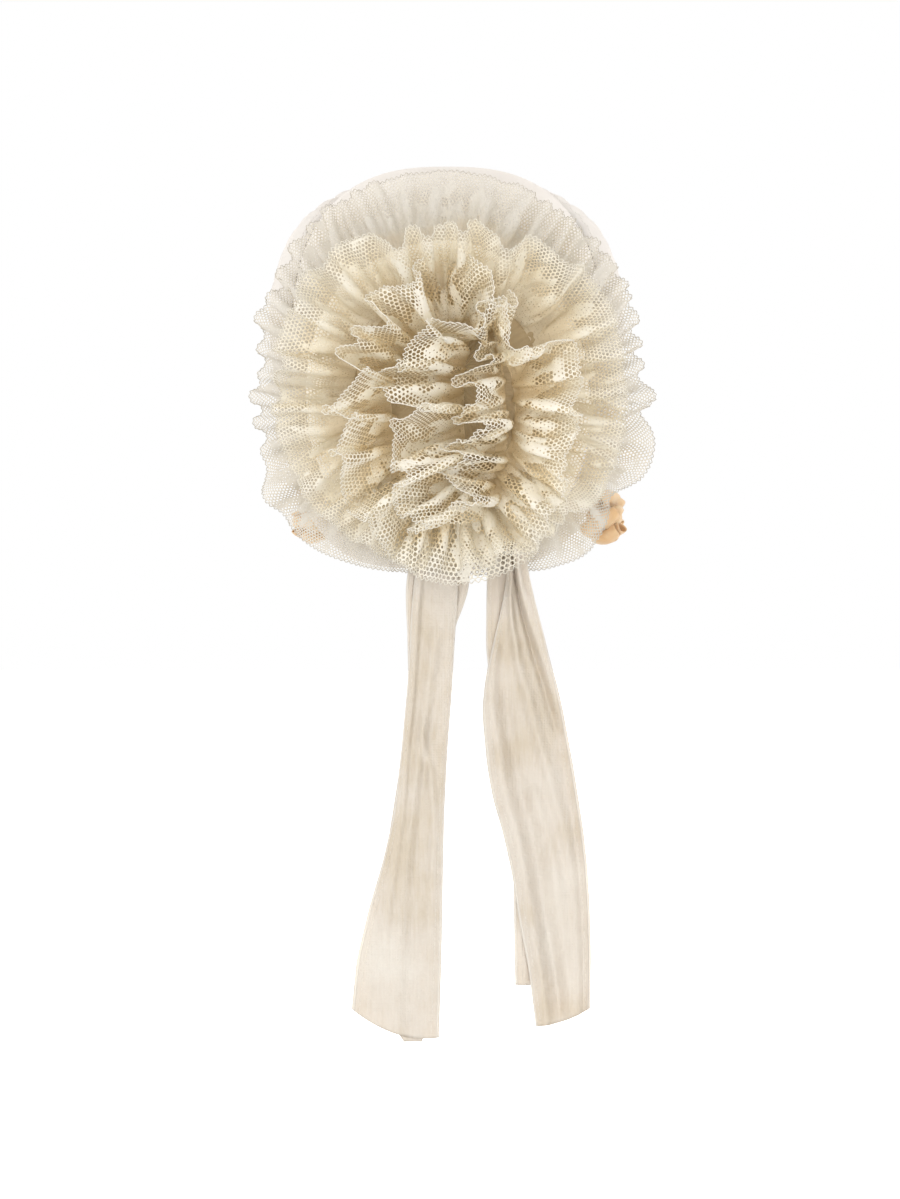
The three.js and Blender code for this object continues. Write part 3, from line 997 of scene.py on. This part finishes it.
def lace_material(number):
    cream = dict(zip(CREAM_COLUMNS, CREAMS[number]))
    material, tree = new_material(f"lace_cotton_{number + 1}")
    flat = tree.on_flat()
    grain = tree.noise(flat, 1500.0, detail=3.0)
    mottle = tree.noise(tree.on_piece(), 45.0, detail=3.0)
    # Painted shade: the lace is darker near its seam, where the gathers crowd, and paler towards its free
    # edge.
    from_seam = tree.parts(flat, 1) * (1000.0 / 38.0)
    tone = mottle * 0.4 + grain * 0.3 + from_seam * 0.26
    # Painted shade: darker where the lace lies under other lace (depth) and in patches of net (open).
    tone = tone - tree.stored("open") * 0.13 - tree.stored("depth") * 0.17 + 0.12
    colour = tree.ramp(tone, (0.33, cream["deep"]), (0.43, cream["middle"]), (0.58, cream["pale"]))
    bump = tree.bump(grain, strength=0.6, distance=0.0005)
    thin_cloth(tree, colour, LACE_ROUGHNESS, bump, through=cream["through"], glow=cream["glow"])
    return material


LACE_COTTON = [lace_material(number) for number in range(len(CREAMS))]

# %% Lace pieces
NET = net_group()
NET_SHARE = 0.8
NETS = [
    {"Mesh size": 0.0018, "Hole size": 0.32, "Openness": -0.05},
    {"Mesh size": 0.0020, "Hole size": 0.42, "Openness": -0.02},
    {"Mesh size": 0.0023, "Hole size": 0.46, "Openness": 0.01},
]
DEPTH_CELL = 2.0
DEPTH_CELLS = 300
DEPTH_FULL = 15.0
DEPTH_SPREAD = 3


def build_lace(strip, number):
    name = strip["name"]
    ruffle, cream = RUFFLES[name], CREAM_OF[name]
    lace = grid_object(name + "_lace", strip["place"], loop=ruffle["closed"])
    flat = (ruffle["length"] * MM, float(strip["width"]) * MM)
    cloth = {"Length": flat[0], "Width": flat[1], "Seed": 7.0 * number, "Material": LACE_COTTON[cream]}
    run_group(lace, NET, NETS[cream] | cloth)
    put_in_part(lace, name)
    NET_SHARE * flat[0] * flat[1]
    print(lace.name, "has", len(lace.data.polygons), "faces")
    return lace


def laid_flat(points):
    """Each point's cell on a flat map of the back of the head, and its distance from the middle."""
    distance = np.linalg.norm(points, axis=-1)
    angle = np.arccos(np.clip(-points[:, 1] / distance, -1, 1))
    round_ = np.arctan2(points[:, 0], points[:, 2])
    across = HEAD_RADIUS * angle[:, None] * np.stack([np.sin(round_), np.cos(round_)], -1)
    return (across / DEPTH_CELL + DEPTH_CELLS / 2).astype(int), distance


def spread_over(field, join):
    """A field with each cell joined to its neighbours, first along and then across."""
    for axis in (0, 1):
        field = join([np.roll(field, k, axis) for k in range(-DEPTH_SPREAD, DEPTH_SPREAD + 1)])
    return field


def mark_depth(pieces):
    """Stores on each point how deep it lies under the outermost lace near it, 0 on top and 1 at the bottom,
    for the lace's painted shade.
    """
    places = [np.array([v.co for v in piece.data.vertices]) / MM - HEAD for piece in pieces]
    cells, distance = laid_flat(np.concatenate(places))
    top = np.zeros((DEPTH_CELLS, DEPTH_CELLS))
    np.maximum.at(top, (cells[:, 0], cells[:, 1]), distance)
    top = spread_over(top, lambda fields: np.max(fields, axis=0))
    top = spread_over(top, lambda fields: np.mean(fields, axis=0))
    depth = np.clip((top[cells[:, 0], cells[:, 1]] - distance) / DEPTH_FULL, 0, 1)
    ends = np.cumsum([len(place) for place in places])
    for piece, values in zip(pieces, np.split(depth, ends[:-1])):
        piece.data.attributes.new("depth", "FLOAT", "POINT").data.foreach_set("value", values)


mark_depth([build_lace(strip, number) for number, strip in enumerate(strips)])


# %% The lace's foundation
FOUNDATION = {"across": 84, "above": 72, "below": 76, "middle": -16}
PUCKERS = 60
PUCKER_HEIGHT = 0.55
PUCKER_DROP = 0.2


def foundation_material():
    """Gathered cotton, with painted shade: dark and warm in the middle, where the rings cover it, and pale
    where it shows at the nape.
    """
    material, tree = new_material("foundation_cotton")
    grain = tree.noise(tree.on_piece(), 1500.0, detail=3.0)
    tone = tree.parts(tree.on_flat(), 1) + grain * 0.2
    # The dark first stop is painted shade, for what shows in the gaps between the rings.
    stops = [(0.65, (0.46, 0.36, 0.22)), (0.85, (0.77, 0.71, 0.58)), (1.0, (0.84, 0.80, 0.71))]
    bump = tree.bump(grain, strength=0.6, distance=0.0005)
    glow = (0.85, 0.72, 0.48, 1)
    thin_cloth(tree, tree.ramp(tone, *stops), LACE_ROUGHNESS, bump, through=0.1, glow=glow)
    return material


def build_foundation(columns=540, rows=34):
    """A round of gathered cotton under the rings, so that no bare cap shows between their folds."""
    round_ = around(columns)
    share = np.linspace(0, 1, rows + 1)
    across = FOUNDATION["across"] * np.sin(round_)[:, None] * share
    reach = np.where(np.cos(round_) > 0, FOUNDATION["above"], FOUNDATION["below"])
    up = FOUNDATION["middle"] + (reach * np.cos(round_))[:, None] * share
    grid = on_back(across, up)
    fine = np.sin(PUCKERS * round_ + 2 * np.sin(7 * round_))[:, None]
    puckers = PUCKER_HEIGHT * fine * share**0.7 * (1 - 0.7 * share**4)
    grid = grid + crown_normal(grid) * (puckers - PUCKER_DROP)[..., None]
    base = grid_object("lace_foundation", grid, loop=True, pole=True)
    base.data.materials.append(foundation_material())
    put_in_part(base)


build_foundation()
sew("band_stitches", band_seams, MUSLIN_CLOTH, loop=True)

# %% [markdown]
# ## Silk ties
#
# Each tie is a ribbon of thin cream silk sewn from two plies. The front ply is wide and has soft
# folds down its length, and the back one shows at the top and along one side. A table gives the
# edges of each ply as it hangs, and each fold is a ridge along a short path on the ply.

# %% The ties' tables
# Each ply stands for a node, and its end is cut at a slant and with a bow, in millimetres.
PLY_COLUMNS = "replaces slant bow".split()
PLIES = {
    "tie_left_front": ("tie_left", 14, 5),
    "tie_left_back": ("tie_left", 0, 0),
    "tie_right_front": ("tie_right", -9, 2),
    "tie_right_back": ("tie_right", 0, 0),
}
# Each row is a place on the ply, in millimetres from the middle of the head: how far down it is,
# how far out at the back, and where its left and right edges are.
EDGE_COLUMNS = "down out left right".split()
EDGES = {
    "tie_left_front": [
        (101, 73.5, -14.5, 5.5),
        (118, 73.2, -16, 5.5),
        (130.5, 72.2, -17.5, 5),
        (152, 71.5, -18.5, 3.5),
        (170.5, 71.2, -19.5, 2.5),
        (203.5, 73.3, -22.5, 0),
        (233.5, 78.2, -26, -1.5),
        (257, 83, -31, -2),
        (283.5, 88.4, -38.5, -2.5),
        (310.5, 93.6, -44.5, -3),
        (337, 98.4, -47, -4),
    ],
    "tie_left_back": [
        (101, 69.8, -16.5, 11),
        (108, 69.6, -18.5, 11.4),
        (123, 69.3, -20.4, 10.8),
        (133, 69.1, -20.2, 7.5),
        (142, 69, -19.6, 3.6),
        (170, 69.3, -19, 2),
        (203.5, 71.3, -22, -0.5),
        (257, 81, -30.5, -2.5),
        (310.5, 91.5, -42, -3.5),
        (330, 95, -36, -5),
        (346, 97.5, -20, -13),
    ],
    "tie_right_front": [
        (101, 71.5, 29, 38.5),
        (115.5, 71.8, 30, 40.5),
        (130.5, 71.6, 27.5, 44),
        (145.5, 71.2, 24, 48),
        (158.5, 71, 21, 51),
        (168.5, 71, 19, 54),
        (183.5, 71.6, 17.5, 57.5),
        (210.5, 74.5, 20, 62.5),
        (227, 77.2, 23, 65),
        (243.5, 80.3, 28, 67.5),
        (263.5, 84.2, 32.5, 69.5),
        (283.5, 88.2, 35.5, 70.5),
        (305.5, 92.2, 40, 71),
        (334, 97, 44, 70.5),
    ],
    "tie_right_back": [
        (101, 68.3, 20, 36),
        (115.5, 67.2, 20, 37.5),
        (133, 66.6, 19.7, 40),
        (152, 66.4, 19.5, 46),
        (165, 66.7, 21, 50),
        (200, 68.9, 21, 58),
        (240, 75.1, 28.5, 65),
        (263, 79.5, 33, 68),
        (283, 83.6, 33.3, 69),
        (318.5, 89.8, 33.8, 69),
    ],
}
# Each fold is its height, its spread across the ply and its path of (down, share across) points.
FOLDS = {
    "tie_left_front": [
        (2.5, 0.07, [(101, 0.14), (150, 0.13), (203, 0.12), (260, 0.2), (300, 0.28)]),
        (1.9, 0.13, [(150, 0.55), (200, 0.4), (240, 0.36), (290, 0.45), (345, 0.5)]),
        (-1.2, 0.1, [(190, 0.62), (215, 0.52), (250, 0.5), (300, 0.62)]),
        (1.7, 0.08, [(195, 0.42), (212, 0.66), (235, 0.8), (300, 0.86)]),
    ],
    "tie_left_back": [
        (1.5, 0.12, [(101, 0.05), (140, 0.04), (180, 0.1)]),
        (1.2, 0.1, [(101, 0.9), (125, 0.92), (150, 0.9)]),
    ],
    "tie_right_front": [
        (5.0, 0.1, [(101, 0.42), (118, 0.55), (133, 0.72), (147, 0.84), (162, 0.93), (190, 0.99)]),
        (-3.2, 0.06, [(101, 0.25), (118, 0.38), (133, 0.56), (147, 0.7), (165, 0.8), (200, 0.9)]),
        (3.2, 0.08, [(125, 0.2), (150, 0.42), (175, 0.58), (215, 0.7), (260, 0.78)]),
        (4.0, 0.09, [(155, 0.06), (200, 0.15), (243, 0.16), (283, 0.16), (336, 0.2)]),
        (-2.2, 0.09, [(180, 0.3), (230, 0.34), (283, 0.36), (336, 0.46)]),
        (2.1, 0.1, [(225, 0.5), (240, 0.55), (290, 0.6), (336, 0.66)]),
    ],
    "tie_right_back": [
        (1.5, 0.12, [(101, 0.3), (130, 0.26), (160, 0.1)]),
        (1.0, 0.06, [(270, 0.12), (320, 0.14)]),
    ],
}


# %% Silk
THREAD_PITCH = 0.0008


def silk_material():
    material, tree = new_material("cream_silk")
    place = tree.on_piece()
    from_middle = tree.maths("ABSOLUTE", tree.parts(tree.on_flat(), 1) - 0.5)
    # Paler along the long edges: partly the folded hem, partly a painted highlight on the edges.
    hem_and_edge_highlight = tree.maths("MULTIPLY", from_middle - 0.462, 90.0, clamp=True)
    across, down = tree.parts(place, 0), tree.parts(place, 2)
    slubs = tree.noise(tree.vector(across * 900.0, down * 90.0, 0.0), 1.0, detail=3.0)
    threads = tree.waves(down, THREAD_PITCH) * 0.5 + tree.waves(across, THREAD_PITCH) * 0.5
    crumple = tree.noise(place, 60.0, detail=4.0)
    # The silk is lighter and darker in large soft blotches.
    blotches = tree.noise(place, 22.0, detail=3.0)
    colour = tree.ramp(
        blotches * 0.78 + slubs * 0.22 + hem_and_edge_highlight * 0.22,
        (0.35, (0.69, 0.62, 0.51)),
        (0.5, (0.77, 0.72, 0.65)),
        (0.68, (0.83, 0.80, 0.74)),
        (0.85, (0.93, 0.90, 0.82)),
    )
    height = threads * 0.12 + slubs * 0.5 + crumple * 9.0 + hem_and_edge_highlight * 1.5
    bump = tree.bump(height, strength=0.6, distance=0.0006)
    glow = (0.82, 0.68, 0.52, 1.0)
    thin_cloth(tree, colour, roughness=0.5, bump=bump, through=0.2, sheen=0.35, glow=glow)
    return material


SILK = silk_material()

# %% Build the ties
TIE_STEP = 1.6
TIE_SMOOTHING = 5
PLY_STEP = 0.9
SILK_WALL = 0.35
TIE_HEM = 4
HEM_ROWS = slice(3, -2)
SEAM_LIFT = 0.1
FADE_IN = 12
FADE_OUT = 10
CURL_SPREAD = 0.03
CURL_LEFT = 1.2
CURL_RIGHT = 0.8
WRINKLE_HEIGHT = 0.35


def build_ply(name, replaces, slant, bow):
    """Builds one ply and gives its grid of points."""
    rows = dict(zip(EDGE_COLUMNS, np.array(EDGES[name], float).T))
    top, bottom = rows["down"][0], rows["down"][-1]
    down = np.linspace(top, bottom, int((bottom - top) / TIE_STEP))
    sides = (np.interp(down, rows["down"], rows[side]) for side in EDGE_COLUMNS[1:])
    out, left, right = (averaged(side, False, TIE_SMOOTHING) for side in sides)
    width = (right - left).max()
    share = np.linspace(0, 1, int(width / PLY_STEP))
    x = left[:, None] + (right - left)[:, None] * share
    y = -np.broadcast_to(out[:, None], x.shape).copy()
    slope = (down - down[0]) / (down[-1] - down[0])
    cut = slant * (share - 0.5) + bow * (1 - (2 * share - 1) ** 2)
    z = -down[:, None] - cut * slope[:, None] ** 4
    for height, spread, path in FOLDS[name]:
        places, shares = np.array(path).T
        middle = np.interp(down, places, shares)[:, None]
        marks = [places[0] - FADE_IN, places[0], places[-1] - FADE_OUT, places[-1]]
        strength = np.interp(down, marks, [0, 1, 1, 0.5])
        y -= height * strength[:, None] * np.exp(-(((share - middle) / spread) ** 2))
    y += CURL_LEFT * np.exp(-share / CURL_SPREAD) + CURL_RIGHT * np.exp(-(1 - share) / CURL_SPREAD)
    wrinkles = WRINKLE_HEIGHT * np.sin(down[:, None] / 9 + 7 * share)
    y += wrinkles * np.sin(down[:, None] / 23 + 4 * share + slant)
    points = np.stack([x, y, z], -1)
    sheet = grid_object(name, points)
    to_cloth(sheet, SILK, SILK_WALL, offset=0.0)
    put_in_part(sheet, replaces)
    return points


def hem_lines(points):
    """Lines on the front of a ply, a short way in from both of its long edges."""
    ends = [TIE_HEM, points.shape[1] - 1 - TIE_HEM]
    return [points[HEM_ROWS, column] - [0, SILK_WALL / 2 + SEAM_LIFT, 0] for column in ends]


plies = [build_ply(name, **dict(zip(PLY_COLUMNS, ply))) for name, ply in PLIES.items()]
sew("tie_stitches", sum((hem_lines(points) for points in plies), []), SILK)

# %% [markdown]
# ## Satin rosettes
#
# Each rosette is a ribbon laid in loops round a knot, in three layers: a wide one, a small one
# over it and one behind, against the side of the head. A loop leaves the knot drawn together,
# opens to its full width and comes back, so it looks like a leaf. Every loop is turned a little
# on its own middle line, which shows its face.

# %% The rosettes' tables
# Each rosette has its place, its ribbon's width, its loops' length and its knot's radius, then the
# degrees that its loops are turned and the seed of their unevenness.
ROSETTE_COLUMNS = "at ribbon loop knot turned seed".split()
ROSETTES = {
    "rosette_right": ((80.5, -6, -86.5), 14, 13, 4.5, 34, 1),
    "rosette_left": ((-70, -4, -89.5), 10.5, 8.5, 3.5, 30, 4),
}
# Each layer has a number of loops, their length as a share, how far out they lie, how plump they
# are and the share of a step by which they are offset.
LAYER_COLUMNS = "count length out plump offset".split()
LAYERS = [
    (6, 1.0, -2, 0.26, 0.5),
    (4, 0.66, 2, 0.32, 0.0),
    (4, 0.8, -8, 0.34, 0.25),
]
LOOP_START = 1.5
SATIN_WALL = 0.35
RIBBON_SHARE = 0.8
LOOP_SIZES = (0.9, 1.08)
LOOP_TIPS = (2, 14)
TURN_SPREAD = 14
ROUND_SPREAD = 0.12
KNOT_ARC = 2.2
KNOT_OUT = 4.5
KNOT_RISE = 3.2
KNOT_PUCKER = 0.08


# %% Satin
def satin_material():
    material, tree = new_material("peach_satin")
    place = tree.on_piece()
    tone = tree.noise(place, 90.0)
    ribs = tree.maths("SINE", tree.parts(tree.on_flat(), 0) * (TURN * 110.0))
    stops = [(0.35, (0.90, 0.64, 0.36)), (0.55, (0.95, 0.76, 0.50)), (0.75, (0.95, 0.83, 0.66))]
    colour = tree.ramp(tone, *stops)
    bump = tree.bump(ribs * 0.2 + tree.noise(place, 260.0), strength=0.3, distance=0.0004)
    glow = (0.88, 0.58, 0.30, 1)
    thin_cloth(tree, colour, roughness=0.38, bump=bump, through=0.25, sheen=0.3, glow=glow)
    return material


SATIN = satin_material()


# %% Build the rosettes
def ribbon_loop(ribbon, length, plump, steps=40, rows=12):
    """One loop of ribbon up from the knot and back, with its width along X, drawn in at the knot."""
    t = np.linspace(0, 1, steps + 1)[:, None]
    share = np.linspace(-0.5, 0.5, rows + 1)
    opened = np.sin(np.pi * t)
    out = LOOP_START + length * opened**0.9
    side = -plump * length * np.sin(TURN * t) * opened**0.35
    width = ribbon * (0.34 + 0.66 * opened**0.55)
    cup = 0.9 * (1 - 4 * share**2) * opened
    folds = 0.35 * np.cos(share * TURN * 3) * (1 - opened**0.5)
    rounded = 1 - 0.16 * (2 * share) ** 2
    y = side + np.sign(side) * (cup + folds)
    return np.stack([width * share, y, out * rounded], -1)


def spun(points, axis, angle):
    """Points turned about one axis through the origin."""
    a, b = (axis + 1) % 3, (axis + 2) % 3
    turned = points.copy()
    turned[..., a] = points[..., a] * np.cos(angle) - points[..., b] * np.sin(angle)
    turned[..., b] = points[..., a] * np.sin(angle) + points[..., b] * np.cos(angle)
    return turned


def placed_loop(made, layer, k, outward, rng):
    """Loop k of a layer, turned on its middle line, tipped outwards and spun to its place."""
    length = made["loop"] * layer["length"] * rng.uniform(*LOOP_SIZES)
    grid = ribbon_loop(made["ribbon"], length, layer["plump"])
    turn = np.radians(made["turned"] + rng.uniform(-TURN_SPREAD, TURN_SPREAD)) * outward
    step = k + layer["offset"] + rng.uniform(-ROUND_SPREAD, ROUND_SPREAD)
    grid = spun(grid, 2, turn)
    grid = spun(grid, 1, np.radians(rng.uniform(*LOOP_TIPS)) * outward)
    grid = spun(grid, 0, TURN * step / layer["count"])
    return grid + np.array(made["at"]) + [layer["out"] * outward, 0, 0]


def knot_object(name, made, outward, steps=28, rows=14):
    """The ribbon's last turn over the middle: a small puckered button."""
    round_ = around(steps)[:, None]
    share = np.linspace(0, 1, rows + 1) * KNOT_ARC
    reach = made["knot"] * np.sin(share) * (1 + KNOT_PUCKER * np.sin(5 * round_))
    x = np.broadcast_to(outward * (KNOT_OUT + KNOT_RISE * np.cos(share)), reach.shape)
    grid = np.stack([x, reach * np.cos(round_), reach * np.sin(round_)], -1)
    return grid_object(name + "_knot", grid + np.array(made["at"]), loop=True, pole=True)


def joined(name, parts):
    """One object from several."""
    with bpy.context.temp_override(active_object=parts[0], selected_editable_objects=parts):
        bpy.ops.object.join()
    parts[0].name = name
    parts[0].data.name = name
    return parts[0]


def build_rosette(name, made):
    rng = np.random.default_rng(made["seed"])
    outward = np.sign(made["at"][0])
    layers = [dict(zip(LAYER_COLUMNS, layer)) for layer in LAYERS]
    grids = [
        placed_loop(made, layer, k, outward, rng) for layer in layers for k in range(layer["count"])
    ]
    parts = [grid_object(name + "_loop", grid) for grid in grids]
    parts.append(knot_object(name, made, outward))
    rosette = joined(name + "_ribbon", parts)
    to_cloth(rosette, SATIN, SATIN_WALL, offset=0.0)
    put_in_part(rosette, name)
    lengths = [np.linalg.norm(np.diff(grid[:, grid.shape[1] // 2], axis=0), axis=-1).sum() for grid in grids]
    flat = (float(sum(lengths)) * MM, made["ribbon"] * MM)
    RIBBON_SHARE * flat[0] * flat[1]
    print(rosette.name, f"has {len(grids)} loops from {sum(lengths):.0f} mm of ribbon")


for name, made in ROSETTES.items():
    build_rosette(name, dict(zip(ROSETTE_COLUMNS, made)))

# %% Camera, floor and light
# The picture shows FRAME_HEIGHT metres of what is FRAME_DISTANCE from the camera.
CAMERA_PLACE = (0.0015, -4.04, -0.2165)
FRAME_DISTANCE = 4.0
FRAME_HEIGHT = 0.5995
LIT_POINT = Vector((0, -0.03, -0.15))
FLOOR_Z = -0.52
FLOOR_HALF = 30
LAMP_COLUMNS = "name place size power".split()
LAMPS = [
    ("key", (-0.9, -1.4, 0.7), 0.6, 6.5),
    ("front", (0.55, -2.0, 0.1), 1.8, 7.5),
    ("low_front", (-0.1, -1.8, -0.8), 1.5, 10.5),
    ("side_left", (-1.9, 0.5, 0.4), 1.0, 12),
    ("side_right", (1.9, 0.5, 0.4), 1.0, 15),
    ("face_side", (0.0, 2.3, 0.3), 1.4, 15),
]


def build_camera():
    camera = bpy.data.objects.new("camera", bpy.data.cameras.new("camera"))
    bpy.context.scene.collection.objects.link(camera)
    camera.location = CAMERA_PLACE
    camera.rotation_euler = (np.pi / 2, 0, 0)
    camera.data.lens = camera.data.sensor_width * FRAME_DISTANCE / FRAME_HEIGHT
    camera.data.clip_end = 50
    bpy.context.scene.camera = camera


def build_light(name, place, size, power):
    lamp = bpy.data.lights.new(name, "AREA")
    lamp.energy = power
    lamp.size = size
    light = bpy.data.objects.new(name, lamp)
    light.location = place
    light.rotation_euler = (LIT_POINT - light.location).to_track_quat("-Z", "Y").to_euler()
    bpy.context.scene.collection.objects.link(light)


def build_stage():
    """A wide white floor, which doesn't throw its own light back on the cap."""
    mesh = bpy.data.meshes.new("studio_floor")
    corners = [(-1, -1), (1, -1), (1, 1), (-1, 1)]
    mesh.from_pydata([(x * FLOOR_HALF, y * FLOOR_HALF, FLOOR_Z) for x, y in corners], [], [(0, 1, 2, 3)])
    floor = bpy.data.objects.new("studio_floor", mesh)
    bpy.context.scene.collection.objects.link(floor)
    material, tree = new_material("floor_paper")
    white = {"Base Color": (0.9, 0.9, 0.9, 1), "Roughness": 0.9}
    white |= {"Emission Color": (1, 1, 1, 1), "Emission Strength": 0.7}
    surface = tree.add("ShaderNodeBsdfPrincipled", white)
    tree.add("ShaderNodeOutputMaterial", {"Surface": surface})
    mesh.materials.append(material)
    floor.visible_diffuse = False
    floor.visible_transmission = False


def build_world():
    """White where the camera sees it, and a little warmer and dimmer as a light."""
    world = bpy.data.worlds.new("studio")
    world.use_nodes = True
    world.node_tree.nodes.clear()
    tree = Tree(world.node_tree)
    seen = tree.add("ShaderNodeLightPath")
    colours = {0: seen, 6: (1.0, 0.962, 0.91, 1), 7: (1, 1, 1, 1)}
    tint = tree.add("ShaderNodeMix", colours, 2, data_type="RGBA")
    light = tree.add("ShaderNodeBackground", {"Color": tint, "Strength": seen * 0.11 + 0.89})
    tree.add("ShaderNodeOutputWorld", {"Surface": light})
    bpy.context.scene.world = world


bpy.context.scene.view_settings.view_transform = "Standard"
build_camera()
build_stage()
build_world()
for lamp in LAMPS:
    build_light(**dict(zip(LAMP_COLUMNS, lamp)))
